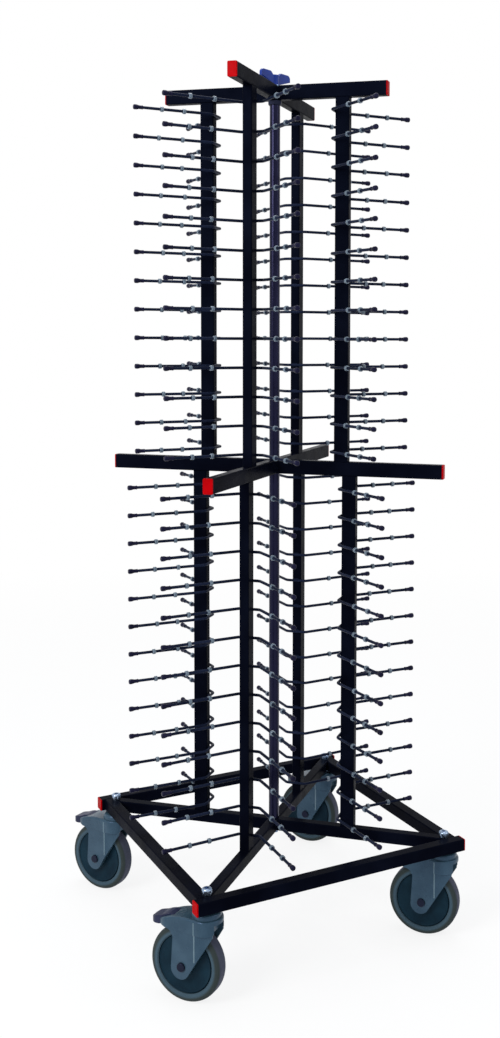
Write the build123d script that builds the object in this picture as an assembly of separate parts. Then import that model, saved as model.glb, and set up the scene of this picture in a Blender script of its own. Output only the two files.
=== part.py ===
from build123d import *
import os
from math import acos, asin, atan2, cos, degrees, hypot, radians, sin

# Stackable plate rack: a trolley that holds plates in four columns, on two tiers of bent wires.
# Frame: +Z up, origin on the floor under the middle of the base. The posts stand on the
# diagonals of the base: front at (-X, -Y), right at (+X, -Y), back at (+X, +Y), left at (-X, +Y).

# Base frame
base_side = 600.0             # outer side of the square base, over the end caps
base_tube = 25.0              # square tube of the base beams
side_beam_inset = 10.0        # side beams lie this far inside the ends of the front beam
diagonal_width = 22.0         # width of the X tubes that carry the posts
tube_wall = 1.5
tube_corner = 2.5             # outer corner radius of every rectangular tube

# Tiers
post_length = 756.0
post_radial = 30.0            # post section along the diagonal
post_tangential = 20.0        # post section across the diagonal
lower_post_radius = 168.0     # middle of the rack to the middle of a lower post
upper_post_radius = 150.0
cross_height = 30.0
cross_width = 20.0
middle_cross_reach = 370.0    # middle of the rack to the face of an end cap
top_cross_reach = 246.0

# End caps of the tubes
cap_flange = 2.5              # part of the cap that shows outside the tube
cap_plug = 14.0               # part of the cap inside the tube
plug_clearance = 0.1

# Wires, two arms each, one wire per post and level
level_count = 13
first_level = 21.5            # foot of a post to its lowest wire
last_level = 26.5             # top wire to the top of a post
wire_diameter = 6.0
wire_straight = 22.0          # half the straight part behind the post, to the corner of the bend
wire_bend = 12.0              # radius of the bend's middle line
arm_reach = 108.0             # middle of the post to the arm's end, along the diagonal
arm_spread = 138.0            # middle of the post to the arm's end, across the diagonal

# Push-on caps of the arms
arm_cap_length = 20.0
arm_cap_bulb = 5.25           # radius of the bulb at the end
arm_cap_bulb_length = 6.0
arm_cap_edge = 2.4            # rounding of the bulb's end
arm_cap_neck = 13.0           # end of the cap to where the sleeve starts
arm_cap_sleeve = 3.8          # radius of the sleeve
arm_cap_end_wall = 2.0
arm_cap_clearance = 0.05

# Rings that slide on the arms
ring_length = 7.0
ring_radius = 5.5
ring_edge = 1.6
ring_clearance = 0.05
outer_ring_from_end = 58.0
inner_ring_from_end = 106.0
ring_wander = 4.0             # rings are set by hand, so their places differ by up to this

# Centre poles
pole_diameter = 22.0
pole_wall = 2.0
insert_length = 30.0
insert_clearance = 0.05
stud_radius = 5.0
stud_clearance = 0.3          # stud of the upper tier in the parts of the lower one
lower_stud_length = 50.0      # what reaches below the foot of the upper pole
collar_height = 10.0
collar_radius = 15.5          # over the corners of the hexagon
pole_bolt_head = 6.0
pole_bolt_length = 55.0

# Locating pins in the feet of the upper posts
pin_radius = 4.0
pin_length = 18.0
pin_plug = 20.0

# Wing nut
wing_washer_radius = 9.8
wing_washer_thickness = 2.0
wing_hub_radius = 8.0
wing_hub_height = 21.0        # from the washer to the top of the hub
wing_hub_edge = 1.5
wing_span = 98.0
wing_height = 27.0            # from the washer to the top of a wing
wing_lift = 5.0               # lower edge of a wing above the washer
wing_thickness = 7.0
wing_corner = 8.0
wing_edge = 1.4
wing_toe = 8.0                # height of the slanted toe under a wing's end
wing_shoulder = 9.0           # length of the slope from the hub up to a wing's top
wing_angle = 27.0             # direction of the wings, from +X
wing_stud_engagement = 17.0
thread_clearance = 0.05
face_gap = 0.05               # between the faces of washer, nut and cross

# Castors
wheel_radius = 75.0
wheel_to_base = 37.0          # top of the tyre to the underside of the base
castor_inset = 33.0           # side of the base to a castor's swivel axis
castor_trail = 40.0           # swivel axis to wheel axle
wheel_width = 32.0
tread_width = 14.0            # flat middle of the tread
tread_bulge = 2.8             # how far the shoulder of the tyre swells
tyre_shoulder = 10.0          # height of that shoulder
tyre_band = 17.0              # tread to the tyre's bore
tyre_edge = 2.0
disc_groove = 2.0             # groove between disc and tyre
disc_width = 29.0
disc_lip = 4.0                # raised rim of the disc
rim_width = 22.0
hub_radius = 12.0
axle_radius = 6.0
axle_clearance = 0.05
axle_head_radius = 8.5
axle_head_from_middle = 31.0  # outer face of the head to the middle of the wheel
axle_head_height = 5.5
axle_head_edge = 1.5
axle_seat_clearance = 0.2
fork_gap = 37.0               # between the inner faces of the cheeks
side_clearance = 0.3          # hub to cheek, and other faces that pass each other
wheel_clearance = 6.0         # tyre to the arch of the fork
crown_radius = 32.0
crown_rise = 22.0             # top of the tyre to the flat top of the crown
crown_drop = 6.5              # top of the tyre down to the underside of the nose
crown_edge = 4.0              # rounding round the top of the crown
lobe_rise = 13.0              # top of the tyre to the underside of the front lobe
lobe_opening = -17.0          # rear end of the opening under that lobe
nose_radius = 24.0
nose_offset = 74.5            # swivel axis to the middle of the nose
nose_end_rise = 2.5           # top of the tyre to the upper edge of the nose's end
nose_end_height = 5.0
crown_flat_end = 25.0         # swivel axis to where the top starts to curve down to the nose's end
dome_inset = 4.0              # dome over the bearing, inside the edge of the crown
crown_top_gap = 3.3           # top of the dome to the underside of the base
dome_fillet = 7.0
cheek_end = 20.5              # radius of the lower end
cheek_end_shift = 3.5         # middle of that end behind the axle and below it
cheek_end_drop = 4.5
cheek_front = -24.0           # edges of the cheeks, along the trail direction
cheek_back = 59.0
cheek_crease = 11.5           # here the outer face of the cheek turns inward
cheek_front_half = 21.5       # half width over the cheeks at the front edge, the crease and the back
cheek_crease_half = 29.0
cheek_back_half = 23.4
gusset_drop = 34.0            # top of the tyre down to the foot of the gusset under the nose
gusset_reach = 21.0
castor_trail_angle = {"front": 127.5, "right": 131.0, "back": 128.0, "left": 122.0}

# Castor stem, bearing and bolt
stem_flange_radius = 15.0
stem_flange_height = 3.0
stem_radius = 8.0
stem_collar_radius = 11.0
stem_collar_height = 4.0
stem_length = 28.0            # flange to the end of the collar
spigot_radius = 7.0
bolt_radius = 5.0
bolt_length = 40.0
bolt_head_radius = 10.0
bolt_head_height = 8.0
bolt_head_edge = 3.5
bolt_neck_radius = 8.5
bolt_neck_height = 4.5
bolt_socket = 4.6             # over the corners of the hexagon socket
bolt_socket_depth = 4.0
bolt_end_room = 1.0           # bore of the stem beyond the end of the bolt
bearing_radius = 14.0
bearing_height = 15.0
bearing_edge = 0.8
bearing_clearance = 0.05

# Brake pedal of the braked castors
braked = ("front", "left")
pedal_width = 30.0
pedal_reach = 116.0           # swivel axis to the end of the pedal
pedal_pivot_x = 68.0
pedal_pivot_rise = 10.0       # top of the tyre to the pivot
pedal_pin_radius = 3.0
pedal_pin_reach = 4.0         # pin beyond the side of the pedal
pedal_heel = 4.0              # pivot to the inner end of the pedal
slot_front_gap = 2.0          # inner end of the pedal to the end of its slot
slot_clearance = 0.5

# Heights and places that follow from the sizes above
level_pitch = (post_length - first_level - last_level) / (level_count - 1)
tyre_top = 2 * wheel_radius
castor_height = tyre_top + wheel_to_base
castor_offset = base_side / 2 - castor_inset
base_top = castor_height + base_tube
middle_cross_foot = base_top + post_length
upper_foot = middle_cross_foot + cross_height
top_cross_foot = upper_foot + post_length
rack_top = top_cross_foot + cross_height
wire_radius = wire_diameter / 2
wire_back = -post_radial / 2 - wire_radius
arm_length = hypot(arm_reach - wire_back, arm_spread - wire_straight)
arm_angle = degrees(atan2(arm_spread - wire_straight, arm_reach - wire_back))
corner_angle = {"front": 225.0, "right": 315.0, "back": 45.0, "left": 135.0}
corners = list(corner_angle)
dome_top = castor_height - crown_top_gap
tyre_bore = wheel_radius - tyre_band
tyre_side = wheel_radius - tyre_shoulder
disc_radius = tyre_bore - disc_groove
pedal_pivot_z = tyre_top + pedal_pivot_rise
pedal_tip = pedal_reach - pedal_pivot_x
# Side view of the pedal from its pivot: the top from heel to tip, then the tab's underside and the shoe
pedal_outline = [(-pedal_heel, 6), (7, 6), (15, 4), (25, 0), (pedal_tip - 8, -3.5), (pedal_tip - 2, -7),
                 (pedal_tip, -11), (pedal_tip - 1, -15), (pedal_tip - 5, -17), (29, -17), (20, -15),
                 (8, -14.5), (4, -10), (-pedal_heel, -6)]


# Places
def post_place(corner, radius, height):
    """Frame on a post: +X outward along the diagonal, +Y to the next corner anticlockwise."""
    return Rot(0, 0, corner_angle[corner]) * Pos(radius, 0, height)


def arm_place(corner, side, radius, height, from_end):
    """Frame on the middle line of an arm, with +X along the arm, towards its end."""
    end = Pos(arm_reach, side * arm_spread, 0) * Rot(0, 0, side * arm_angle)
    return post_place(corner, radius, height) * end * Pos(-from_end, 0, 0)


def castor_place(corner):
    """Frame on the floor under a swivel axis, with +X along the trail of the wheel."""
    angle = radians(corner_angle[corner])
    x = castor_offset if cos(angle) > 0 else -castor_offset
    y = castor_offset if sin(angle) > 0 else -castor_offset
    return Pos(x, y, 0) * Rot(0, 0, castor_trail_angle[corner])


def next_corner(corner, side):
    """The corner that an arm points to: side 1 is anticlockwise, seen from above."""
    return corners[(corners.index(corner) + side) % len(corners)]


def level_heights(foot):
    return [foot + first_level + level_pitch * level for level in range(level_count)]


# Tubes and their caps
def tube_section(width, height):
    outer = RectangleRounded(width, height, tube_corner)
    inner = RectangleRounded(width - 2 * tube_wall, height - 2 * tube_wall, tube_corner - tube_wall)
    return outer - inner


def level_tube(length, width, height):
    """Tube along +X from the origin, standing on Z = 0."""
    return Pos(0, 0, height / 2) * extrude(Plane.YZ * tube_section(width, height), length)


def end_cap(width, height):
    """Cap for a tube that ends at X = 0, with the same place as level_tube."""
    flange = extrude(Plane.YZ * RectangleRounded(width, height, tube_corner), cap_flange)
    flange = fillet(flange.faces().sort_by(Axis.X)[-1].edges(), cap_flange / 2)
    slack = 2 * (tube_wall + plug_clearance)
    plug_face = RectangleRounded(width - slack, height - slack, tube_corner - tube_wall)
    plug = Pos(-cap_plug, 0, 0) * extrude(Plane.YZ * plug_face, cap_plug)
    return Pos(0, 0, height / 2) * (flange + plug)


def vertical_hole(x, y, radius, bottom, top):
    return Pos(x, y, (bottom + top) / 2) * Cylinder(radius, top - bottom)


def spigot_holes():
    """Holes in the base for the spigots of the castor stems."""
    radius = spigot_radius + insert_clearance
    places = [castor_place(corner).position for corner in corners]
    return [vertical_hole(p.X, p.Y, radius, castor_height - 1, base_top + 1) for p in places]


def base_beams():
    length = base_side - 2 * cap_flange
    beam = Pos(-length / 2, 0, castor_height) * level_tube(length, base_tube, base_tube)
    y = base_side / 2 - base_tube / 2
    return [Pos(0, -y, 0) * beam, Pos(0, y, 0) * beam]


def base_side_beams():
    length = base_side - 2 * base_tube
    beam = Rot(0, 0, 90) * Pos(-length / 2, 0, castor_height) * level_tube(length, base_tube, base_tube)
    x = base_side / 2 - side_beam_inset - base_tube / 2
    return [Pos(side * x, 0, 0) * beam - spigot_holes() for side in (-1, 1)]


def base_diagonals():
    inner_x = base_side - 2 * (side_beam_inset + base_tube)
    inner_y = base_side - 2 * base_tube
    room = Pos(0, 0, castor_height + base_tube / 2) * Box(inner_x, inner_y, base_tube)
    reach = base_side * 0.75
    long_tube = Pos(-reach, 0, castor_height) * level_tube(2 * reach, diagonal_width, base_tube)
    half_tube = Pos(diagonal_width / 2, 0, castor_height) * level_tube(reach, diagonal_width, base_tube)
    bolt_hole = vertical_hole(0, 0, stud_radius + insert_clearance, castor_height - 1, base_top + 1)
    cuts = spigot_holes() + [bolt_hole]
    tubes = [Rot(0, 0, 45) * long_tube, Rot(0, 0, 135) * half_tube, Rot(0, 0, 315) * half_tube]
    return [(tube & room) - cuts for tube in tubes]


def base_end_caps():
    cap = Pos(base_side / 2 - cap_flange, 0, castor_height) * end_cap(base_tube, base_tube)
    y = base_side / 2 - base_tube / 2
    return [Pos(0, side * y, 0) * Rot(0, 0, turn) * cap for side in (-1, 1) for turn in (0, 180)]


# A cross is one long tube from the front to the back corner and two half tubes welded to it
def cross(reach, foot, pin_circle):
    """pin_circle is the radius of the holes for locating pins, or None."""
    length = reach - cap_flange
    long_tube = Pos(-length, 0, foot) * level_tube(2 * length, cross_width, cross_height)
    half_length = length - cross_width / 2
    half_tube = Pos(cross_width / 2, 0, foot) * level_tube(half_length, cross_width, cross_height)
    hole = stud_radius + stud_clearance
    cuts = [vertical_hole(0, 0, hole, foot - 1, foot + cross_height + 1)]
    if pin_circle:
        top_wall = foot + cross_height / 2
        for corner in corners:
            place = post_place(corner, pin_circle, 0).position
            radius = pin_radius + stud_clearance
            cuts.append(vertical_hole(place.X, place.Y, radius, top_wall, foot + cross_height + 1))
    turned = [Rot(0, 0, corner_angle["back"]) * long_tube]
    turned += [Rot(0, 0, corner_angle[corner]) * half_tube for corner in ("right", "left")]
    return [tube - cuts for tube in turned]


def cross_caps(reach, foot):
    cap = end_cap(cross_width, cross_height)
    return [post_place(corner, reach - cap_flange, foot) * cap for corner in corners]


def posts(radius, foot):
    post = extrude(tube_section(post_radial, post_tangential), post_length)
    return [post_place(corner, radius, foot) * post for corner in corners]


# Wires with their caps and rings
def wire():
    """One wire at its post: straight across the post's inner face, then an arm to each side."""
    short = arm_cap_end_wall / arm_length
    end_x = arm_reach - short * (arm_reach - wire_back)
    end_y = arm_spread - short * (arm_spread - wire_straight)
    half = [(wire_back, wire_straight), (end_x, end_y)]
    points = [(x, -y) for x, y in reversed(half)] + half
    path = FilletPolyline(*points, radius=wire_bend)
    start = Plane(origin=path @ 0, z_dir=path % 0)
    return sweep(start * Circle(wire_radius), path=path)


def arm_cap():
    """Cap with its end at the origin and its mouth at -X."""
    bore = wire_radius + arm_cap_clearance
    edge = arm_cap_edge
    bulb = arm_cap_bulb
    line = Line((0, 0), (0, bulb - edge))
    line += RadiusArc((0, bulb - edge), (-edge, bulb), -edge)
    line += Polyline((-edge, bulb), (-arm_cap_bulb_length, bulb), (-arm_cap_neck, arm_cap_sleeve),
                     (-arm_cap_length, arm_cap_sleeve), (-arm_cap_length, bore),
                     (-arm_cap_end_wall, bore), (-arm_cap_end_wall, 0), (0, 0))
    return revolve(make_face(line), Axis.X)


def ring():
    """Ring round the X axis, with its middle at the origin."""
    bore = wire_radius + ring_clearance
    section = Pos(0, (bore + ring_radius) / 2) * Rectangle(ring_length, ring_radius - bore)
    section = fillet(section.vertices().group_by(Axis.Y)[-1], ring_edge)
    return revolve(section, Axis.X)


def wires(radius, foot):
    one = wire()
    return [post_place(corner, radius, height) * one
            for corner in corners for height in level_heights(foot)]


def arm_caps(radius, foot):
    one = arm_cap()
    return [arm_place(corner, side, radius, height, 0) * one
            for corner in corners for side in (-1, 1) for height in level_heights(foot)]


def rings(corner, side, radius, foot):
    """The rings of one column of parallel arms."""
    one = ring()
    placed = []
    for level, height in enumerate(level_heights(foot)):
        for row, from_end in enumerate((outer_ring_from_end, inner_ring_from_end)):
            phase = corner_angle[corner] + 70 * side + 137 * level + 80 * row
            shift = ring_wander * sin(radians(phase))
            placed.append(arm_place(corner, side, radius, height, from_end + shift) * one)
    return placed


# Centre poles, with their inserts and studs
def pole(foot, top):
    outer = Cylinder(pole_diameter / 2, top - foot)
    bore = Cylinder(pole_diameter / 2 - pole_wall, top - foot)
    return Pos(0, 0, (foot + top) / 2) * (outer - bore)


def insert(foot):
    """Solid plug for the end of a pole, without its thread."""
    radius = pole_diameter / 2 - pole_wall - insert_clearance
    return Pos(0, 0, foot + insert_length / 2) * Cylinder(radius, insert_length)


def pole_inserts():
    lower = insert(base_top)
    lower -= vertical_hole(0, 0, stud_radius + insert_clearance, base_top - 1, base_top + insert_length + 1)
    foot = middle_cross_foot - insert_length
    upper = insert(foot)
    upper -= vertical_hole(0, 0, stud_radius + stud_clearance, foot - 1, middle_cross_foot + 1)
    return [lower, upper]


def pole_bolt():
    """Bolt from under the base into the lower pole."""
    head = Pos(0, 0, castor_height - pole_bolt_head)
    head *= extrude(RegularPolygon(bolt_head_radius, 6), pole_bolt_head)
    shank_top = castor_height - pole_bolt_head + pole_bolt_length
    return [head + vertical_hole(0, 0, stud_radius, castor_height, shank_top)]


def pole_studs():
    """Studs in both ends of the upper pole: one downward, one up through the top cross."""
    lower = insert(upper_foot)
    lower += vertical_hole(0, 0, stud_radius, upper_foot - lower_stud_length, upper_foot + 1)
    pole_top = top_cross_foot - collar_height
    stud_top = rack_top + face_gap + wing_washer_thickness + wing_stud_engagement
    upper = insert(pole_top - insert_length)
    upper += vertical_hole(0, 0, stud_radius, pole_top - 1, stud_top)
    return [lower, upper]


def pole_collar():
    nut = extrude(RegularPolygon(collar_radius, 6), collar_height)
    nut = chamfer(nut.edges().filter_by(Plane.XY), 1)
    bore = Cylinder(stud_radius + insert_clearance, 4 * collar_height)
    return [Pos(0, 0, top_cross_foot - collar_height) * (nut - bore)]


def locating_pins():
    """Plug in the foot of each upper post, with a pin that drops into the middle cross."""
    slack = 2 * (tube_wall + plug_clearance)
    face = RectangleRounded(post_radial - slack, post_tangential - slack, tube_corner - tube_wall)
    pin = extrude(face, pin_plug) + vertical_hole(0, 0, pin_radius, -pin_length, 1)
    pin = chamfer(pin.faces().sort_by(Axis.Z)[0].edges(), 1)
    return [post_place(corner, upper_post_radius, upper_foot) * pin for corner in corners]


# Wing nut and its washer
def wing_washer():
    washer = Cylinder(wing_washer_radius, wing_washer_thickness)
    washer -= Cylinder(stud_radius + stud_clearance, 2 * wing_washer_thickness)
    return [Pos(0, 0, rack_top + face_gap + wing_washer_thickness / 2) * washer]


def wing_nut():
    """Hub with two upright wings, standing on the washer."""
    hub = Pos(0, 0, wing_hub_height / 2) * Cylinder(wing_hub_radius, wing_hub_height)
    hub = fillet(hub.faces().sort_by(Axis.Z)[-1].edges(), wing_hub_edge)
    end = wing_span / 2
    foot = wing_edge / 2
    inside = wing_hub_height - wing_hub_edge
    top_start = wing_hub_radius + wing_shoulder
    face = make_face(Polyline((0, foot), (wing_hub_radius, foot), (end, wing_lift + wing_toe),
                              (end, wing_height), (top_start, wing_height), (wing_hub_radius, inside),
                              (0, inside), (0, foot)))
    tops = face.vertices().group_by(Axis.Y)[-1].sort_by(Axis.X)
    face = fillet(tops[-1], wing_corner)
    face = fillet(face.vertices().group_by(Axis.Y)[-1].sort_by(Axis.X)[0], wing_corner / 2)
    wing = extrude(Plane.XZ * face, wing_thickness / 2, both=True)
    wing = fillet(wing.faces().filter_by(Axis.Y).edges(), wing_edge)
    nut = hub + wing + Rot(0, 0, 180) * wing
    nut -= vertical_hole(0, 0, stud_radius + thread_clearance, -1, wing_stud_engagement + 1)
    return [Pos(0, 0, rack_top + 2 * face_gap + wing_washer_thickness) * Rot(0, 0, wing_angle) * nut]


# Castors, each built with its swivel axis on Z and its wheel trailing along +X
def cross_cylinder(radius, length, x, z):
    """Cylinder along Y, centred on the wheel's middle plane."""
    return Pos(x, 0, z) * Rot(90, 0, 0) * Cylinder(radius, length)


def block(x_low, x_high, width, z_low, z_high):
    return Pos((x_low + x_high) / 2, 0, (z_low + z_high) / 2) * Box(x_high - x_low, width, z_high - z_low)


def crown_plan():
    """Crown from above: a round front, a round nose and straight sides that touch both."""
    lean = acos((crown_radius - nose_radius) / nose_offset)
    front = (crown_radius * cos(lean), crown_radius * sin(lean))
    rear = (nose_offset + nose_radius * cos(lean), nose_radius * sin(lean))
    outline = ThreePointArc(front, (-crown_radius, 0), (front[0], -front[1]))
    outline += Line((front[0], -front[1]), (rear[0], -rear[1]))
    outline += ThreePointArc((rear[0], -rear[1]), (nose_offset + nose_radius, 0), rear)
    outline += Line(rear, front)
    return make_face(outline)


def crown():
    """Top of the fork: a body whose nose slopes down at the rear, and a dome over the bearing."""
    flat_top = tyre_top + crown_rise
    under = tyre_top - crown_drop
    front = -crown_radius - 1
    end = nose_offset + nose_radius + 1
    end_top = tyre_top + nose_end_rise
    fall = flat_top - end_top
    bend = (fall ** 2 + (end - crown_flat_end) ** 2) / (2 * fall)
    half_turn = asin((end - crown_flat_end) / bend) / 2
    middle = (crown_flat_end + bend * sin(half_turn), flat_top - bend * (1 - cos(half_turn)))
    side = Line((front, flat_top), (crown_flat_end, flat_top))
    side += ThreePointArc((crown_flat_end, flat_top), middle, (end, end_top))
    side += Polyline((end, end_top), (end, end_top - nose_end_height), (nose_offset, under),
                     (cheek_front, under), (front, tyre_top + lobe_rise), (front, flat_top))
    body = extrude(crown_plan(), castor_height)
    body &= extrude(Plane.XZ * make_face(side), 2 * crown_radius, both=True)
    top_faces = [face for face in body.faces() if face.normal_at(face.center()).Z > 0.5]
    seams = [edge for face in top_faces for edge in face.edges()]
    rim = [edge for edge in seams if sum(edge.is_same(other) for other in seams) == 1]
    body = fillet(rim, crown_edge)
    dome = vertical_hole(0, 0, crown_radius - dome_inset, under, dome_top)
    return body + fillet(dome.edges().group_by(Axis.Z)[-1], dome_fillet)


def cheeks():
    """The two side plates, with their rounded lower ends and the gussets under the nose."""
    back = cheek_back + gusset_reach
    outline = [(back, fork_gap / 2), (back, cheek_back_half), (cheek_crease, cheek_crease_half),
               (cheek_front, cheek_front_half), (cheek_front, fork_gap / 2), (back, fork_gap / 2)]
    plan = extrude(make_face(Polyline(*outline)), tyre_top)
    end = Pos(castor_trail + cheek_end_shift, wheel_radius - cheek_end_drop) * Circle(cheek_end)
    under = tyre_top - crown_drop
    top = Pos((cheek_front + cheek_back) / 2, under) * Rectangle(cheek_back - cheek_front, crown_drop)
    foot = (cheek_back, tyre_top - gusset_drop)
    inside = (castor_trail, foot[1])
    gusset = Spline(foot, (back, under), tangents=[(0, 1), (1, 0)])
    gusset += Polyline((back, under), (back, tyre_top), (castor_trail, tyre_top), inside, foot)
    side = make_hull((end + top).edges()) + make_face(gusset)
    cheek = plan & extrude(Plane.XZ * side, 2 * crown_radius, both=True)
    return cheek + mirror(cheek, Plane.XZ)


def fork(corner):
    body = crown() + cheeks()
    body -= cross_cylinder(wheel_radius + wheel_clearance, fork_gap, castor_trail, wheel_radius)
    body -= block(-2 * crown_radius, lobe_opening, fork_gap, wheel_radius, tyre_top + lobe_rise)
    body -= vertical_hole(0, 0, stem_radius + side_clearance, wheel_radius, castor_height)
    pocket = bearing_radius + bearing_clearance
    body -= vertical_hole(0, 0, pocket, wheel_radius, stem_shoulder() + side_clearance)
    body -= cross_cylinder(axle_radius + axle_clearance, 4 * crown_radius, castor_trail, wheel_radius)
    head_seat = axle_head_from_middle - axle_head_height
    for side in (-1, 1):
        seat = cross_cylinder(axle_head_radius + axle_seat_clearance, crown_radius, castor_trail, wheel_radius)
        body -= Pos(0, side * (head_seat + crown_radius / 2), 0) * seat
    if corner in braked:
        body -= pedal_room()
    return body


def stem_shoulder():
    """Height of the bearing's top face."""
    foot = castor_height - stem_flange_height - stem_length
    return foot + stem_collar_height + bearing_height


def pedal_room():
    """The slot through the nose, open at its end, and the holes for the pedal's pins."""
    front = pedal_pivot_x - pedal_heel - slot_front_gap
    room = block(front, 2 * pedal_reach, pedal_width + 2 * slot_clearance, wheel_radius, castor_height)
    pins = pedal_width + 2 * (pedal_pin_reach + slot_clearance)
    return room + cross_cylinder(pedal_pin_radius + axle_clearance, pins, pedal_pivot_x, pedal_pivot_z)


def brake_pedal():
    """Tab behind the nose and a shoe over the tyre, on two short pins of its own."""
    x = pedal_pivot_x
    z = pedal_pivot_z
    outline = [(x + right, z + up) for right, up in pedal_outline]
    side = extrude(Plane.XZ * make_face(Polyline(*outline, outline[0])), pedal_width, both=True)
    end_x = pedal_reach - pedal_width / 2
    plan = make_hull((Pos(x, 0) * Rectangle(2 * pedal_heel, pedal_width)
                      + Pos(end_x, 0) * Circle(pedal_width / 2)).edges())
    body = side & (Pos(0, 0, wheel_radius) * extrude(plan, castor_height))
    return body + cross_cylinder(pedal_pin_radius, pedal_width + 2 * pedal_pin_reach, x, z)


def wheel_disc():
    """Hub and disc, turned round the axle."""
    half = disc_width / 2
    boss = fork_gap / 2 - side_clearance
    rim = rim_width / 2
    bore = axle_radius + axle_clearance
    lip = disc_radius - disc_lip
    right = [(bore, boss), (hub_radius, boss), (hub_radius + 2, half - 2), (lip, half - 1),
             (disc_radius - 1, half), (disc_radius, half - 1), (disc_radius, rim), (tyre_bore, rim)]
    points = right + [(r, -y) for r, y in reversed(right)] + [right[0]]
    return Pos(castor_trail, 0, wheel_radius) * revolve(make_face(Polyline(*points)), Axis.Y)


def tyre():
    half = wheel_width / 2
    flat = tread_width / 2
    inner = half - tyre_edge
    section = Polyline((tyre_bore, -inner), (tyre_bore + tyre_edge, -half), (tyre_side, -half))
    section += SagittaArc((tyre_side, -half), (wheel_radius, -flat), -tread_bulge)
    section += Line((wheel_radius, -flat), (wheel_radius, flat))
    section += SagittaArc((tyre_side, half), (wheel_radius, flat), tread_bulge)
    section += Polyline((tyre_side, half), (tyre_bore + tyre_edge, half), (tyre_bore, inner),
                        (tyre_bore, -inner))
    return Pos(castor_trail, 0, wheel_radius) * revolve(make_face(section.edges()), Axis.Y)


def axle():
    """Axle pin with a round head at each end."""
    shank = axle_head_from_middle - axle_head_height / 2
    pin = cross_cylinder(axle_radius, 2 * shank, castor_trail, wheel_radius)
    for side in (-1, 1):
        head = cross_cylinder(axle_head_radius, axle_head_height, castor_trail, wheel_radius)
        outer = head.faces().sort_by(Axis.Y)[-1 if side > 0 else 0]
        head = fillet(outer.edges(), axle_head_edge)
        pin += Pos(0, side * shank, 0) * head
    return pin


def castor_stem():
    """Fixed pin that the fork turns on, with a spigot up into the base."""
    flange_foot = castor_height - stem_flange_height
    foot = flange_foot - stem_length
    stem = vertical_hole(0, 0, stem_flange_radius, flange_foot, castor_height)
    stem += vertical_hole(0, 0, stem_radius, foot, flange_foot)
    stem += vertical_hole(0, 0, stem_collar_radius, foot, foot + stem_collar_height)
    stem += vertical_hole(0, 0, spigot_radius, castor_height, base_top)
    bore_foot = base_top - bolt_length - bolt_end_room
    return stem - vertical_hole(0, 0, bolt_radius + insert_clearance, bore_foot, base_top + 1)


def castor_bearing():
    top = stem_shoulder()
    ring_body = vertical_hole(0, 0, bearing_radius, top - bearing_height, top)
    bore = vertical_hole(0, 0, stem_radius + bearing_clearance, 0, castor_height)
    return chamfer(ring_body.edges(), bearing_edge) - bore


def castor_bolt():
    """Bolt with a round neck, a wide domed head and a hexagon socket, screwed down into the stem."""
    neck_top = base_top + bolt_neck_height
    head_top = neck_top + bolt_head_height
    bolt = vertical_hole(0, 0, bolt_radius, base_top - bolt_length, base_top)
    bolt += vertical_hole(0, 0, bolt_neck_radius, base_top, neck_top)
    head = vertical_hole(0, 0, bolt_head_radius, neck_top, head_top)
    bolt += fillet(head.faces().sort_by(Axis.Z)[-1].edges(), bolt_head_edge)
    socket = extrude(RegularPolygon(bolt_socket, 6), bolt_socket_depth + 1)
    return bolt - Pos(0, 0, head_top - bolt_socket_depth) * socket


def at_castors(shape):
    return [castor_place(corner) * shape for corner in corners]


# Output, one file per node
def write(name, solids):
    node = Compound(label=name, children=list(solids)) if len(solids) > 1 else solids[0]
    export_step(node, "parts/" + name + ".step")


def write_base():
    write("base_beams", base_beams())
    write("base_side_beams", base_side_beams())
    write("base_diagonals", base_diagonals())
    write("base_end_caps", base_end_caps())


def write_tier(tier, radius, foot):
    write(tier + "_posts", posts(radius, foot))
    write(tier + "_wires", wires(radius, foot))
    write(tier + "_arm_caps", arm_caps(radius, foot))
    for corner in corners:
        for side in (-1, 1):
            name = "_".join((tier, "rings", corner, "to", next_corner(corner, side)))
            write(name, rings(corner, side, radius, foot))


def write_crosses():
    write("middle_cross", cross(middle_cross_reach, middle_cross_foot, upper_post_radius))
    write("middle_cross_caps", cross_caps(middle_cross_reach, middle_cross_foot))
    write("top_cross", cross(top_cross_reach, top_cross_foot, None))
    write("top_cross_caps", cross_caps(top_cross_reach, top_cross_foot))


def write_poles():
    write("lower_pole", [pole(base_top, middle_cross_foot)])
    write("upper_pole", [pole(upper_foot, top_cross_foot - collar_height)])
    write("lower_pole_inserts", pole_inserts())
    write("lower_pole_bolt", pole_bolt())
    write("upper_pole_studs", pole_studs())
    write("pole_collar_nut", pole_collar())
    write("locating_pins", locating_pins())
    write("wing_washer", wing_washer())
    write("wing_nut", wing_nut())


def write_castors():
    write("castor_stems", at_castors(castor_stem()))
    write("castor_bearings", at_castors(castor_bearing()))
    write("castor_bolts", at_castors(castor_bolt()))
    for corner in corners:
        place = castor_place(corner)
        write("castor_fork_" + corner, [place * fork(corner)])
        write("castor_tyre_" + corner, [place * tyre()])
        write("castor_disc_" + corner, [place * wheel_disc()])
        write("castor_axle_" + corner, [place * axle()])
    for corner in braked:
        write("brake_pedal_" + corner, [castor_place(corner) * brake_pedal()])


os.makedirs("parts", exist_ok=True)
write_base()
write_tier("lower", lower_post_radius, base_top)
write_tier("upper", upper_post_radius, upper_foot)
write_crosses()
write_poles()
write_castors()
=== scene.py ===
from math import atan2, cos, degrees, pi, radians, sin, tan

import bpy
from mathutils import Matrix, Vector

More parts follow.
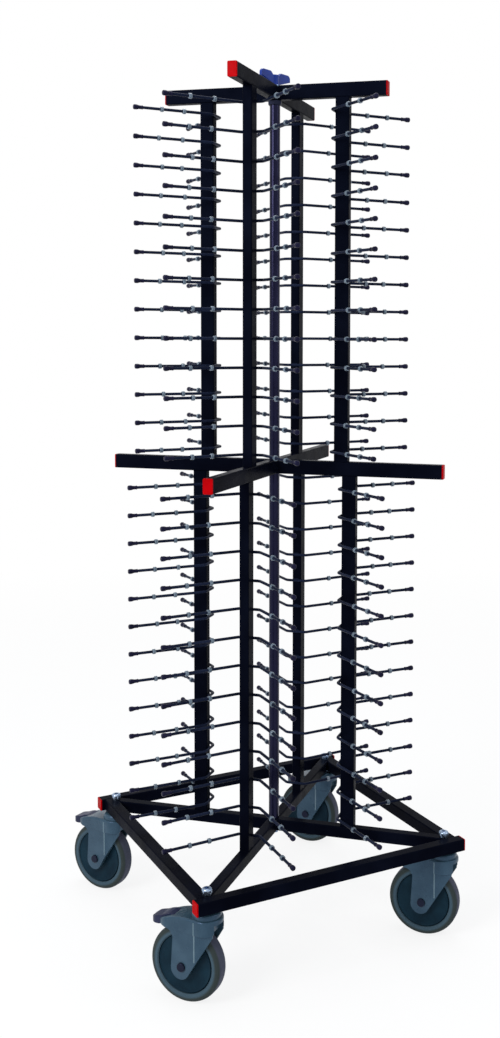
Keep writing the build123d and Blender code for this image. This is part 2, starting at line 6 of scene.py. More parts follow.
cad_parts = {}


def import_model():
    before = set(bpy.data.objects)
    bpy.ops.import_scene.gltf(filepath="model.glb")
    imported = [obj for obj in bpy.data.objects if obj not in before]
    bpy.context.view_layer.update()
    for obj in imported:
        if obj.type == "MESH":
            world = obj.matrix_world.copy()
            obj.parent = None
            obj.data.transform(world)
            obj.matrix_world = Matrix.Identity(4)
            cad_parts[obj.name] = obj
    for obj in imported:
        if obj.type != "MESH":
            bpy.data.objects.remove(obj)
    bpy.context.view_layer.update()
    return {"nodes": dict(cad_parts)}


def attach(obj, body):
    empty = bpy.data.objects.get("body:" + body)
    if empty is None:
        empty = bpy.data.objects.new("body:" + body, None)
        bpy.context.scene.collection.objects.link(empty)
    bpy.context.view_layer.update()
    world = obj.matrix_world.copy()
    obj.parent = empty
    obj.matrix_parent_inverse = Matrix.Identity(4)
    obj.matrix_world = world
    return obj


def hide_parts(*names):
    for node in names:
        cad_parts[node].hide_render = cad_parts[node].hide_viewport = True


# Looks of the stackable plate rack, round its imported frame. Metres, +Z up, origin on the floor
# under the middle of the base. The posts stand on the base's diagonals, as in the source.
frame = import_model()

# Tiers and levels, as in the source
corner_angle = {"front": 225.0, "right": 315.0, "back": 45.0, "left": 135.0}
corners = list(corner_angle)
sides_of_post = (-1, 1)
tiers = {"lower": {"radius": 0.168, "foot": 0.212}, "upper": {"radius": 0.150, "foot": 0.998}}
level_count = 13
level_pitch = 0.059
first_level = 0.0215

# Tubes, as in the source
post_length = 0.756
post_radial = 0.030
post_tangential = 0.020
cross_width = 0.020
cross_height = 0.030
base_tube = 0.025
diagonal_width = 0.022

# Castors, as in the source
castor_offset = 0.267           # middle of the rack to a swivel axis, along X and Y
castor_trail = 0.040            # swivel axis to wheel axle
castor_trail_angle = {"front": 127.5, "right": 131.0, "back": 128.0, "left": 122.0}
wheel_radius = 0.075
tyre_bore = 0.058

# Creases down the flanks of a fork
crease_x = 0.0115               # swivel axis to the crease, towards the wheel
cheek_crease_half = 0.029       # half the width over the cheeks
cheek_crease_low = 0.087
crown_low = 0.1435
crown_crease_half = 0.0309      # half the width over the crown
crown_crease_high = 0.1675
crease_radius = 0.0017
crease_proud = 0.0005
crease_fade = 0.004             # length over which its lower end thins out
crease_tip = 0.35               # share of the radius left at that end

# Wires, as in the source
wire_radius = 0.003
wire_straight = 0.022           # middle of the post to where the bend's two sides would meet
wire_bend = 0.012
arm_reach = 0.108
arm_spread = 0.138
wire_back = -post_radial / 2 - wire_radius
arm_angle = degrees(atan2(arm_spread - wire_straight, arm_reach - wire_back))

# Push-on caps
arm_cap_length = 0.020
arm_cap_bulb = 0.00525
arm_cap_edge = 0.0026
arm_cap_face = 0.6              # row of points on its flat end, as a share of the end's radius
arm_cap_bulb_end = -2.4 * arm_cap_edge
arm_cap_neck = -0.66 * arm_cap_length
arm_cap_sleeve = 0.0038
arm_cap_lip = 0.0004
arm_cap_lip_slope = 0.0005
arm_cap_lip_length = 0.002
arm_cap_grip = 0.0002           # how far the bore bites into the wire
arm_cap_wall = 0.002

# Rings, as in the source but for their waist and the bevel of their bore
ring_length = 0.007
ring_radius = 0.0055
ring_bore = 0.00305
ring_edge = 0.0016
ring_waist = 0.00015
ring_bevel = 0.0003
outer_ring_from_end = 0.058
inner_ring_from_end = 0.106
ring_wander = 0.004             # rings are set by hand, so their places differ by up to this

# Welds
bead_ripple = 0.0022            # one ripple to the next
bead_rows_per_ripple = 4
bead_fewest_steps = 4
bead_wave = 0.14                # share of the radius that rises and falls
bead_tip = 0.35                 # share of the radius left at both ends
bead_growth = 4                 # growth of that share from an end, per length of the bead
wire_weld_radius = 0.0014
wire_weld_reach = 0.006
wire_weld_rise = 0.0008         # inner face of the post to the weld's middle
post_weld_radius = 0.0016
post_weld_short_gap = 0.002     # corner of the post to the weld's end, on its narrow faces
post_weld_long_gap = 0.003      # the same on its wide faces
cross_weld_radius = 0.0018
cross_weld_gap = 0.003          # face of the tube to the weld's end

# Fineness of the round pieces
wire_sides = 14
turned_sides = 20
bead_sides = 8
crease_sides = 12
bend_steps = 7
edge_steps = 5
swell_steps = 8
sharp_angle = 40

# Camera, fitted to the photograph's frame of 500 x 1038
photo_long_side = 1038
photo_short_side = 500
focal_pixels = 1204.8
principal_x = 370.0
principal_y = 415.0
camera_place = (-1.1123, -2.3239, 1.2650)
camera_yaw = -30.12
camera_pitch = -3.81
camera_roll = 0.39
sensor = 36.0

# Stage
sky_colour = (0.93, 0.96, 1.0)
sky_strength = 0.55
floor_size = 30.0
floor_colour = (0.90, 0.91, 0.92)
fade_near = 0.8                 # the floor fades to white between these distances
fade_far = 4.0
fade_start = 0.84               # share of white up to the near one

# Tints of highlights
white = (1.0, 1.0, 1.0)
navy_sheen = (0.25, 0.40, 1.0)
violet_sheen = (0.45, 0.45, 1.0)
fork_sheen = (0.45, 0.60, 1.0)
crease_sheen = (0.60, 0.65, 1.0)


# Places as matrices
def post_place(corner, radius, height):
    """Frame on a post: +X outward along the diagonal, +Y to the next corner anticlockwise."""
    turn = Matrix.Rotation(radians(corner_angle[corner]), 4, "Z")
    return turn @ Matrix.Translation((radius, 0, height))


def arm_place(corner, side, tier, height, from_end):
    """Frame on the middle line of an arm, with +X along the arm, towards its end."""
    end = Matrix.Translation((arm_reach, side * arm_spread, 0))
    turn = Matrix.Rotation(radians(side * arm_angle), 4, "Z")
    post = post_place(corner, tiers[tier]["radius"], height)
    return post @ end @ turn @ Matrix.Translation((-from_end, 0, 0))


def next_corner(corner, side):
    return corners[(corners.index(corner) + side) % len(corners)]


def level_heights(tier):
    foot = tiers[tier]["foot"]
    return [foot + first_level + level_pitch * level for level in range(level_count)]


def wire_places(tier):
    radius = tiers[tier]["radius"]
    return [post_place(corner, radius, height)
            for corner in corners for height in level_heights(tier)]


def post_places(tier, rise):
    """Frames on the four posts of a tier, at the given rise over their feet."""
    return [post_place(corner, tiers[tier]["radius"], tiers[tier]["foot"] + rise)
            for corner in corners]


def swivel_foot(corner):
    """Where a castor's swivel axis meets the floor."""
    angle = radians(corner_angle[corner])
    x = castor_offset if cos(angle) > 0 else -castor_offset
    y = castor_offset if sin(angle) > 0 else -castor_offset
    return x, y


def wheel_axis(corner):
    """Centre of a wheel and the direction of its axle."""
    x, y = swivel_foot(corner)
    trail = radians(castor_trail_angle[corner])
    centre = (x + castor_trail * cos(trail), y + castor_trail * sin(trail), wheel_radius)
    return centre, (-sin(trail), cos(trail), 0.0)


def fork_place(corner):
    """Frame on a castor's swivel axis at floor level: +X to the wheel, +Z up."""
    turn = Matrix.Rotation(radians(castor_trail_angle[corner]), 4, "Z")
    return Matrix.Translation((*swivel_foot(corner), 0)) @ turn


# Materials
def rgba(colour):
    """Opaque colour, from three parts or from one grey."""
    parts = colour if isinstance(colour, tuple) else (colour, colour, colour)
    return (*parts, 1.0)


class Finish:
    """A procedural material. Its textures follow the object's own coordinates, in metres."""

    def __init__(self, name, **settings):
        self.material = bpy.data.materials.new(name)
        self.material.use_nodes = True
        self.nodes = self.material.node_tree.nodes
        self.links = self.material.node_tree.links
        self.shader = self.nodes["Principled BSDF"]
        self.place = self.nodes.new("ShaderNodeTexCoord")
        self.height = None
        for key, value in settings.items():
            socket = self.shader.inputs[key.replace("_", " ")]
            socket.default_value = rgba(value) if isinstance(value, tuple) else value

    def noise(self, scale, detail, stretch=(1, 1, 1)):
        mapping = self.nodes.new("ShaderNodeMapping")
        mapping.inputs["Scale"].default_value = stretch
        self.links.new(self.place.outputs["Object"], mapping.inputs["Vector"])
        texture = self.nodes.new("ShaderNodeTexNoise")
        texture.inputs["Scale"].default_value = scale
        texture.inputs["Detail"].default_value = detail
        self.links.new(mapping.outputs["Vector"], texture.inputs["Vector"])
        return texture.outputs["Fac"]

    def ramp(self, value, low, high, low_at=0.35, high_at=0.65):
        """Colour or grey that runs from low to high over the given stretch of value."""
        ramp = self.nodes.new("ShaderNodeValToRGB")
        first, last = ramp.color_ramp.elements
        first.position, last.position = low_at, high_at
        first.color, last.color = rgba(low), rgba(high)
        self.links.new(value, ramp.inputs["Fac"])
        return ramp.outputs["Color"]

    def maths(self, operation, *values):
        """Node of plain arithmetic on sockets and numbers."""
        step = self.nodes.new("ShaderNodeMath")
        step.operation = operation
        for socket, value in zip(step.inputs, values):
            if isinstance(value, (int, float)):
                socket.default_value = value
            else:
                self.links.new(value, socket)
        return step.outputs[0]

    def vector(self, operation, one, two):
        """Node of vector arithmetic between a socket and a vector, or two sockets."""
        step = self.nodes.new("ShaderNodeVectorMath")
        step.operation = operation
        self.links.new(one, step.inputs[0])
        if isinstance(two, tuple):
            step.inputs[1].default_value = two
        else:
            self.links.new(two, step.inputs[1])
        return step.outputs["Value" if operation == "DOT_PRODUCT" else "Vector"]

    def radius_round(self, centre, axis):
        """Distance from an axis through centre, in the object's own coordinates."""
        from_centre = self.vector("SUBTRACT", self.place.outputs["Object"], centre)
        along = self.vector("DOT_PRODUCT", from_centre, axis)
        square = self.vector("DOT_PRODUCT", from_centre, from_centre)
        along_square = self.maths("MULTIPLY", along, along)
        return self.maths("SQRT", self.maths("SUBTRACT", square, along_square))

    def colour(self, value):
        self.links.new(value, self.shader.inputs["Base Color"])

    def roughness(self, value):
        self.links.new(value, self.shader.inputs["Roughness"])

    def bump(self, value, distance):
        """Relief, laid over the one that is there already."""
        bump = self.nodes.new("ShaderNodeBump")
        bump.inputs["Distance"].default_value = distance
        bump.inputs["Strength"].default_value = 1.0
        self.links.new(value, bump.inputs["Height"])
        if self.height:
            self.links.new(self.height, bump.inputs["Normal"])
        self.height = bump.outputs["Normal"]
        self.links.new(self.height, self.shader.inputs["Normal"])


def powder_coat(name, dark, light, roughness, specular, tint):
    """Paint baked on steel: fine orange peel, with clouds in its colour and its gloss."""
    finish = Finish(name, Specular_IOR_Level=specular, Specular_Tint=tint)
    finish.colour(finish.ramp(finish.noise(scale=9, detail=4), dark, light))
    finish.roughness(finish.ramp(finish.noise(scale=35, detail=5), *roughness))
    finish.bump(finish.noise(scale=900, detail=2), distance=0.00006)
    finish.bump(finish.noise(scale=220, detail=2), distance=0.00008)
    return finish.material


def moulded(name, dark, light, roughness, grain, depth, specular, tint=white):
    """Moulded plastic with a fine grain."""
    finish = Finish(name, Specular_IOR_Level=specular, Specular_Tint=tint)
    finish.colour(finish.ramp(finish.noise(scale=22, detail=4), dark, light))
    finish.roughness(finish.ramp(finish.noise(scale=60, detail=4), *roughness))
    finish.bump(finish.noise(scale=grain, detail=3), distance=depth)
    return finish.material


def zinc_plate():
    """Bright zinc: a faint spangle, uneven gloss and fine scratches."""
    finish = Finish("zinc_plate", Metallic=1.0)
    spangle = finish.noise(scale=60, detail=4)
    finish.colour(finish.ramp(spangle, (0.12, 0.19, 0.32), (0.36, 0.45, 0.58)))
    finish.roughness(finish.ramp(finish.noise(scale=140, detail=5), 0.18, 0.36))
    finish.bump(finish.noise(scale=500, detail=2, stretch=(1, 1, 8)), distance=0.00003)
    return finish.material


def ring_silicone():
    """Pale translucent silicone, a little bluish, with a soft skin."""
    finish = Finish("ring_silicone", Subsurface_Weight=0.35, Subsurface_Scale=0.003,
                    Coat_Weight=0.25)
    finish.shader.inputs["Subsurface Radius"].default_value = (1.0, 1.0, 1.0)
    clouds = finish.noise(scale=30, detail=3)
    finish.colour(finish.ramp(clouds, (0.062, 0.098, 0.138), (0.125, 0.172, 0.225)))
    finish.roughness(finish.ramp(finish.noise(scale=120, detail=3), 0.30, 0.45))
    finish.bump(finish.noise(scale=700, detail=3), distance=0.00004)
    return finish.material


def tyre_rubber(corner):
    """Grey rubber: a pale band beside the disc, olive painted shade where it rounds over the
    shoulder, and a violet-grey tread.
    """
    pale, shoulder_painted_shade, tread = (0.047, 0.082, 0.110), (0.028, 0.038, 0.038), (0.054, 0.060, 0.090)
    finish = Finish("tyre_rubber_" + corner, Specular_IOR_Level=0.10)
    radius = finish.radius_round(*wheel_axis(corner))
    band = wheel_radius - tyre_bore
    share = finish.maths("MULTIPLY_ADD", radius, 1 / band, -tyre_bore / band)
    bands = finish.ramp(share, pale, tread, low_at=0.30, high_at=0.985)
    # The olive bands are painted shade, where the tyre rounds from its side to its tread
    for shoulder_shade_at in (0.55, 0.90):
        bands.node.color_ramp.elements.new(shoulder_shade_at).color = rgba(shoulder_painted_shade)
    finish.colour(bands)
    finish.roughness(finish.ramp(finish.noise(scale=60, detail=4), 0.50, 0.72))
    finish.bump(finish.noise(scale=500, detail=3), distance=0.00012)
    return finish.material


materials = {
    "frame": powder_coat(
        "frame_paint", dark=(0.0014, 0.0018, 0.0044), light=(0.0030, 0.0040, 0.0096),
        roughness=(0.24, 0.36), specular=0.008, tint=navy_sheen),
    "pole": powder_coat(
        "pole_paint", dark=(0.0020, 0.0022, 0.0080), light=(0.0040, 0.0045, 0.0160),
        roughness=(0.14, 0.22), specular=0.30, tint=violet_sheen),
    "wire": powder_coat(
        "wire_paint", dark=(0.0060, 0.0085, 0.0200), light=(0.0120, 0.0170, 0.0380),
        roughness=(0.22, 0.34), specular=0.030, tint=navy_sheen),
    "dark_steel": powder_coat(
        "dark_steel", dark=(0.005, 0.007, 0.014), light=(0.010, 0.014, 0.024),
        roughness=(0.28, 0.42), specular=0.20, tint=violet_sheen),
    "red": moulded(
        "red_cap_plastic", dark=(0.32, 0.0001, 0.0006), light=(0.44, 0.0004, 0.0030),
        roughness=(0.32, 0.46), grain=700, depth=0.00004, specular=0.02),
    "blue": moulded(
        "blue_nut_plastic", dark=(0.011, 0.030, 0.180), light=(0.020, 0.050, 0.290),
        roughness=(0.26, 0.40), grain=800, depth=0.00005, specular=0.25, tint=violet_sheen),
    "vinyl": moulded(
        "black_vinyl", dark=(0.005, 0.005, 0.014), light=(0.010, 0.010, 0.028),
        roughness=(0.24, 0.38), grain=900, depth=0.00004, specular=0.12, tint=violet_sheen),
    "fork": moulded(
        "fork_plastic", dark=(0.020, 0.047, 0.070), light=(0.034, 0.069, 0.098),
        roughness=(0.24, 0.38), grain=1100, depth=0.00006, specular=0.42, tint=fork_sheen),
    # Paler than the fork plastic: a painted highlight along the rounding of the creases
    "fork_crease_highlight": moulded(
        "fork_crease_painted_highlight", dark=(0.090, 0.150, 0.175), light=(0.130, 0.200, 0.230),
        roughness=(0.24, 0.34), grain=1100, depth=0.00004, specular=0.60, tint=crease_sheen),
    "disc": moulded(
        "disc_plastic", dark=(0.0030, 0.0140, 0.0250), light=(0.0060, 0.0240, 0.0400),
        roughness=(0.40, 0.55), grain=700, depth=0.00008, specular=0.06),
    "pedal": moulded(
        "pedal_plastic", dark=(0.010, 0.014, 0.042), light=(0.019, 0.025, 0.068),
        roughness=(0.34, 0.48), grain=900, depth=0.00006, specular=0.20),
    "zinc": zinc_plate(),
    "ring": ring_silicone(),
}


# Meshes. A shape is a pair: its verts and its faces.
def mesh_piece(name, shape, material, body):
    """A smooth-shaded piece with sharp edges kept, riding on a body."""
    verts, faces = shape
    mesh = bpy.data.meshes.new(name)
    mesh.from_pydata(verts, [], faces)
    mesh.materials.append(material)
    mesh.shade_smooth()
    mesh.set_sharp_from_angle(angle=radians(sharp_angle))
    piece = bpy.data.objects.new(name, mesh)
    bpy.context.scene.collection.objects.link(piece)
    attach(piece, body)
    return piece


def joined(shapes):
    """One shape of several."""
    verts, faces = [], []
    for shape_verts, shape_faces in shapes:
        start = len(verts)
        verts += shape_verts
        faces += [tuple(start + i for i in face) for face in shape_faces]
    return verts, faces


def stamped(shape, places):
    """Copies of one shape at several places."""
    verts, faces = shape
    return joined([([place @ vert for vert in verts], faces) for place in places])


def circle_angles(sides):
    return [2 * pi * k / sides for k in range(sides)]


def turned(profile):
    """Surface turned round the X axis from points (x, radius); a point on the axis closes it."""
    sides = turned_sides
    verts, rows = [], []
    for x, radius in profile:
        if radius == 0:
            rows.append([len(verts)] * sides)
            verts.append(Vector((x, 0, 0)))
            continue
        rows.append([len(verts) + i for i in range(sides)])
        verts += [Vector((x, radius * cos(a), radius * sin(a))) for a in circle_angles(sides)]
    faces = []
    for one, two in zip(rows, rows[1:]):
        for i in range(sides):
            j = (i + 1) % sides
            # A row on the axis is one point, so its faces have three corners
            faces.append(tuple(dict.fromkeys((one[i], two[i], two[j], one[j]))))
    return verts, faces


def tube_faces(row_count, sides):
    """Faces between rows of points, with a flat face at both ends."""
    faces = []
    for row in range(row_count - 1):
        for k in range(sides):
            a, b = row * sides + k, row * sides + (k + 1) % sides
            faces.append((a, b, b + sides, a + sides))
    last = (row_count - 1) * sides
    return faces + [tuple(reversed(range(sides))), tuple(range(last, last + sides))]


def flat_tube(points, radius, sides):
    """Tube along points in a level plane, with flat ends."""
    verts = []
    for i, point in enumerate(points):
        before, after = points[max(i - 1, 0)], points[min(i + 1, len(points) - 1)]
        along = (after - before).normalized()
        across = Vector((-along.y, along.x, 0))
        verts += [point + radius * (cos(a) * across + sin(a) * Vector((0, 0, 1)))
                  for a in circle_angles(sides)]
    return verts, tube_faces(len(points), sides)


def bead(start, end, radius):
    """Weld bead on the straight line from start to end: a rippled roll of metal."""
    start, end = Vector(start), Vector(end)
    length = (end - start).length
    along = (end - start).normalized()
    side = along.orthogonal().normalized()
    other = along.cross(side)
    steps = max(bead_fewest_steps, int(length / bead_ripple * bead_rows_per_ripple))
    verts = []
    for i in range(steps + 1):
        share = i / steps
        wave = 1 - bead_wave + bead_wave * cos(2 * pi * share * length / bead_ripple)
        taper = min(1.0, bead_growth * min(share, 1 - share) + bead_tip)
        place = start.lerp(end, share)
        verts += [place + radius * wave * taper * (cos(a) * side + sin(a) * other)
                  for a in circle_angles(bead_sides)]
    return verts, tube_faces(steps + 1, bead_sides)


def arc(centre, radius, start, end, steps):
    """Points (x, y) on an arc, angles in degrees."""
    angles = [radians(start + (end - start) * i / steps) for i in range(steps + 1)]
    return [(centre[0] + radius * cos(a), centre[1] + radius * sin(a)) for a in angles]


# Wires
def wire_line():
    """Middle line of a wire in its post's frame, from one arm's end to the other's."""
    turn = 90 - arm_angle
    setback = wire_bend * tan(radians(turn / 2))
    centre = (wire_back + wire_bend, wire_straight - setback)
    bend = arc(centre, wire_bend, 180, 180 - turn, bend_steps)
    inside_cap = arm_cap_length / 2
    end = (arm_reach - inside_cap * cos(radians(arm_angle)),
           arm_spread - inside_cap * sin(radians(arm_angle)))
    half = bend + [end]
    points = [(x, -y) for x, y in reversed(half)] + half
    return [Vector((x, y, 0)) for x, y in points]


def wires(tier):
    shape = stamped(flat_tube(wire_line(), wire_radius, wire_sides), wire_places(tier))
    piece = mesh_piece(tier + "_bent_wires", shape, materials["wire"], tier + "_tier")
    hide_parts(tier + "_wires")


# Welds
def wire_welds(tier):
    """Short welds above and below each wire, where it crosses the inner face of its post."""
    x = -post_radial / 2 - wire_weld_rise
    pair = [bead((x, -wire_weld_reach, z), (x, wire_weld_reach, z), wire_weld_radius)
            for z in (-wire_radius, wire_radius)]
    shape = stamped(joined(pair), wire_places(tier))
    piece = mesh_piece(tier + "_wire_welds", shape, materials["wire"], tier + "_tier")


def post_welds():
    """Welds round the posts, at each end that is fixed to a tube."""
    half_long, half_short = post_radial / 2, post_tangential / 2
    short, long = half_short - post_weld_short_gap, half_long - post_weld_long_gap
    ends = [bead((side * half_long, -short, 0), (side * half_long, short, 0), post_weld_radius)
            for side in (-1, 1)]
    flanks = [bead((-long, side * half_short, 0), (long, side * half_short, 0), post_weld_radius)
              for side in (-1, 1)]
    foot = stamped(joined(ends + flanks), post_places("lower", 0))
    top = stamped(joined(ends), post_places("lower", post_length))
    lower = mesh_piece("lower_post_welds", joined([foot, top]), materials["frame"], "lower_tier")
    top = stamped(joined(ends), post_places("upper", post_length))
    upper = mesh_piece("upper_post_welds", top, materials["frame"], "upper_tier")


def inner_corner_beads(half, foot, height):
    """Upright beads in the four inner corners of two tubes that cross."""
    low, high = foot + cross_weld_gap, foot + height - cross_weld_gap
    beads = []
    for x, y in ((half, half), (-half, half), (-half, -half), (half, -half)):
        place = Matrix.Rotation(radians(45), 4, "Z") @ Vector((x, y, 0))
        beads.append(bead((place.x, place.y, low), (place.x, place.y, high), cross_weld_radius))
    return beads


def cross_welds():
    """Upright welds in the four inner corners of each cross, and at the middle of the base's X."""
    lower_foot, upper_foot = tiers["lower"]["foot"], tiers["upper"]["foot"]
    beads = inner_corner_beads(cross_width / 2, lower_foot + post_length, cross_height)
    beads += inner_corner_beads(diagonal_width / 2, lower_foot - base_tube, base_tube)
    lower = mesh_piece("lower_cross_welds", joined(beads), materials["frame"], "lower_tier")
    beads = inner_corner_beads(cross_width / 2, upper_foot + post_length, cross_height)
    upper = mesh_piece("upper_cross_welds", joined(beads), materials["frame"], "upper_tier")


# Castors
def fork_creases(corner):
    """The rounded creases down both flanks of a fork, on its crown and its cheek, coloured paler
    than the fork as a painted highlight.
    """
    cheek = [(cheek_crease_low, crease_tip), (cheek_crease_low + crease_fade, 1.0),
             (crown_low, 1.0)]
    crown = [(crown_low, 1.0), (crown_crease_high, 1.0)]
    shapes = []
    for side in (-1, 1):
        for half, rows in ((cheek_crease_half, cheek), (crown_crease_half, crown)):
            middle = side * (half + crease_proud - crease_radius)
            verts = [Vector((crease_x + crease_radius * share * cos(a),
                             middle + crease_radius * share * sin(a), z))
                     for z, share in rows for a in circle_angles(crease_sides)]
            shapes.append((verts, tube_faces(len(rows), crease_sides)))
    shape = stamped(joined(shapes), [fork_place(corner)])
    piece = mesh_piece("fork_creases_" + corner, shape, materials["fork_crease_highlight"],
                       "castor_fork_" + corner)


# Push-on caps and rings
def arm_cap_profile():
    """Points (x, radius) from the closed end at the origin to the mouth, then into the bore."""
    mouth_x = -arm_cap_length
    face = [(0, 0), (0, (arm_cap_bulb - arm_cap_edge) * arm_cap_face)]
    tip = arc((-arm_cap_edge, arm_cap_bulb - arm_cap_edge), arm_cap_edge, 0, 90, edge_steps)
    swell = [(arm_cap_bulb_end, arm_cap_bulb)]
    for i in range(1, swell_steps):
        share = i / swell_steps
        ease = share * share * (3 - 2 * share)
        swell.append((arm_cap_bulb_end + (arm_cap_neck - arm_cap_bulb_end) * share,
                      arm_cap_bulb + (arm_cap_sleeve - arm_cap_bulb) * ease))
    lip_radius = arm_cap_sleeve + arm_cap_lip
    mouth = [(mouth_x + arm_cap_lip_length, arm_cap_sleeve),
             (mouth_x + arm_cap_lip_length - arm_cap_lip_slope, lip_radius),
             (mouth_x + arm_cap_lip, lip_radius),
             (mouth_x, arm_cap_sleeve),
             (mouth_x, wire_radius),
             (mouth_x + arm_cap_wall, wire_radius - arm_cap_grip)]
    return face + tip + swell + mouth


def arm_caps(tier):
    places = [arm_place(corner, side, tier, height, 0)
              for corner in corners for side in sides_of_post for height in level_heights(tier)]
    shape = stamped(turned(arm_cap_profile()), places)
    piece = mesh_piece(tier + "_push_on_caps", shape, materials["vinyl"], tier + "_tier")
    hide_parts(tier + "_arm_caps")


def ring_profile():
    """Closed section of a ring: rounded outside, with a shallow waist."""
    half = ring_length / 2
    round_x, round_radius = half - ring_edge, ring_radius - ring_edge
    low = arc((-round_x, round_radius), ring_edge, 180, 90, edge_steps)
    high = arc((round_x, round_radius), ring_edge, 90, 0, edge_steps)
    waist = [(0, ring_radius - ring_waist)]
    inner = [(half, ring_bore + ring_bevel), (half - ring_bevel, ring_bore),
             (-half + ring_bevel, ring_bore), (-half, ring_bore + ring_bevel)]
    return low + waist + high + inner + low[:1]


def rings(tier, corner, side):
    """The rings of one column of arms, each shifted along its arm by its own amount."""
    places = []
    for level, height in enumerate(level_heights(tier)):
        for row, from_end in enumerate((outer_ring_from_end, inner_ring_from_end)):
            # As in the source, so that each ring lies where its solid does
            phase = corner_angle[corner] + 70 * side + 137 * level + 80 * row
            shift = ring_wander * sin(radians(phase))
            places.append(arm_place(corner, side, tier, height, from_end + shift))
    name = "_".join((tier, "rings", corner, "to", next_corner(corner, side)))
    shape = stamped(turned(ring_profile()), places)
    piece = mesh_piece(name.replace("rings", "soft_rings"), shape, materials["ring"], name)
    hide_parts(name)


# The frame's own nodes get their finish
def finish_node(name, material):
    node = frame["nodes"][name]
    node.data.materials.clear()
    node.data.materials.append(material)


def finish_nodes():
    names_by_finish = {
        "frame": ["base_beams", "base_side_beams", "base_diagonals", "lower_posts",
                  "middle_cross", "upper_posts", "top_cross"],
        "pole": ["lower_pole", "upper_pole"],
        "red": ["base_end_caps", "middle_cross_caps", "top_cross_caps"],
        "zinc": ["castor_stems", "castor_bearings", "castor_bolts", "lower_pole_inserts",
                 "lower_pole_bolt", "upper_pole_studs", "locating_pins", "wing_washer"],
        "blue": ["wing_nut"],
        "dark_steel": ["pole_collar_nut"] + ["castor_axle_" + corner for corner in corners],
        "fork": ["castor_fork_" + corner for corner in corners],
        "disc": ["castor_disc_" + corner for corner in corners],
        "pedal": [name for name in frame["nodes"] if name.startswith("brake_pedal")],
        "wire": ["lower_wires", "upper_wires"],
        "vinyl": ["lower_arm_caps", "upper_arm_caps"],
        "ring": [name for name in frame["nodes"] if "_rings_" in name],
    }
    for finish, names in names_by_finish.items():
        for name in names:
            finish_node(name, materials[finish])
    for corner in corners:
        finish_node("castor_tyre_" + corner, tyre_rubber(corner))


# Stage, lights and camera
def white_to_camera(nodes, links, lit, plain):
    """Mix that shows plain to the camera, to reflections and through glass, and lit elsewhere."""
    path = nodes.new("ShaderNodeLightPath")
    seen = path.outputs["Is Camera Ray"]
    for ray in ("Is Glossy Ray", "Is Transmission Ray"):
        either = nodes.new("ShaderNodeMath")
        either.operation = "MAXIMUM"
        links.new(seen, either.inputs[0])
        links.new(path.outputs[ray], either.inputs[1])
        seen = either.outputs[0]
    mix = nodes.new("ShaderNodeMixShader")
    links.new(seen, mix.inputs["Fac"])
    links.new(lit, mix.inputs[1])
    links.new(plain, mix.inputs[2])
    return mix.outputs[0]


def world():
    made = bpy.data.worlds.new("studio")
    made.use_nodes = True
    nodes, links = made.node_tree.nodes, made.node_tree.links
    lit = nodes["Background"]
    lit.inputs["Color"].default_value = rgba(sky_colour)
    lit.inputs["Strength"].default_value = sky_strength
    plain = nodes.new("ShaderNodeBackground")
    plain.inputs["Color"].default_value = rgba(white)
    plain.inputs["Strength"].default_value = 1.0
    shown = white_to_camera(nodes, links, lit.outputs[0], plain.outputs[0])
    links.new(shown, nodes["World Output"].inputs["Surface"])
    bpy.context.scene.world = made


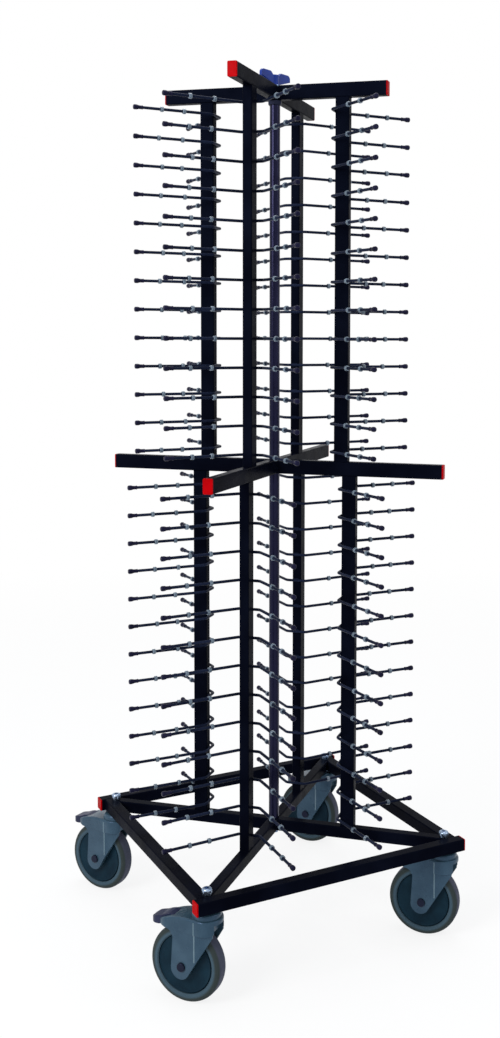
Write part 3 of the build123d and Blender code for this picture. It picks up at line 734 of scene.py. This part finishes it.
def floor():
    """Pale floor. It keeps the shadow near the rack and fades to white around it."""
    bpy.ops.mesh.primitive_plane_add(size=floor_size, location=(0, 0, 0))
    plane = bpy.context.object
    plane.name = "studio_floor"
    finish = Finish("studio_floor", Roughness=0.9, Specular_IOR_Level=0.1,
                    Base_Color=floor_colour)
    nodes, links = finish.nodes, finish.links
    lit = finish.shader.outputs[0]
    plain = nodes.new("ShaderNodeEmission")
    plain.inputs["Strength"].default_value = 1.0
    distance = finish.radius_round(centre=(0.0, 0.0, 0.0), axis=(0.0, 0.0, 1.0))
    share = finish.ramp(finish.maths("MULTIPLY", distance, 1 / fade_far), fade_start, 1.0,
                        low_at=fade_near / fade_far, high_at=1.0)
    blend = nodes.new("ShaderNodeMixShader")
    links.new(share, blend.inputs["Fac"])
    links.new(lit, blend.inputs[1])
    links.new(plain.outputs[0], blend.inputs[2])
    shown = white_to_camera(nodes, links, lit, blend.outputs[0])
    links.new(shown, nodes["Material Output"].inputs["Surface"])
    plane.data.materials.append(finish.material)


def lamp(name, place, target, size, power, colour=white):
    """Rectangular lamp of the given power in watts, aimed at target."""
    data = bpy.data.lights.new(name, "AREA")
    data.shape = "RECTANGLE"
    data.size, data.size_y = size
    data.energy = power
    data.color = colour
    light = bpy.data.objects.new(name, data)
    light.location = place
    aim = Vector(target) - Vector(place)
    light.rotation_euler = aim.to_track_quat("-Z", "Y").to_euler()
    bpy.context.scene.collection.objects.link(light)


def lamps():
    lamp("key", place=(-3.4, -1.2, 2.8), target=(0, 0, 0.9), size=(1.6, 2.4), power=112,
         colour=(1.0, 0.99, 0.98))
    lamp("fill", place=(2.6, -3.0, 2.2), target=(0, 0, 0.9), size=(1.8, 2.4), power=24,
         colour=(0.95, 0.97, 1.0))
    lamp("top", place=(0.2, 0.4, 4.2), target=(0, 0, 0.6), size=(2.4, 2.4), power=64)


def camera():
    data = bpy.data.cameras.new("camera")
    data.sensor_width = sensor
    data.lens = focal_pixels / photo_long_side * sensor
    data.shift_x = (photo_short_side / 2 - principal_x) / photo_long_side
    data.shift_y = (principal_y - photo_long_side / 2) / photo_long_side
    eye = bpy.data.objects.new("camera", data)
    turn = Matrix.Rotation(radians(camera_yaw), 4, "Z")
    tilt = Matrix.Rotation(radians(90 + camera_pitch), 4, "X")
    roll = Matrix.Rotation(radians(camera_roll), 4, "Z")
    eye.matrix_world = Matrix.Translation(camera_place) @ turn @ tilt @ roll
    bpy.context.scene.collection.objects.link(eye)
    bpy.context.scene.camera = eye


for tier in tiers:
    wires(tier)
    wire_welds(tier)
    arm_caps(tier)
    for corner in corners:
        for side in sides_of_post:
            rings(tier, corner, side)
post_welds()
cross_welds()
for corner in corners:
    fork_creases(corner)
finish_nodes()
world()
floor()
lamps()
camera()
bpy.context.scene.view_settings.view_transform = "Standard"
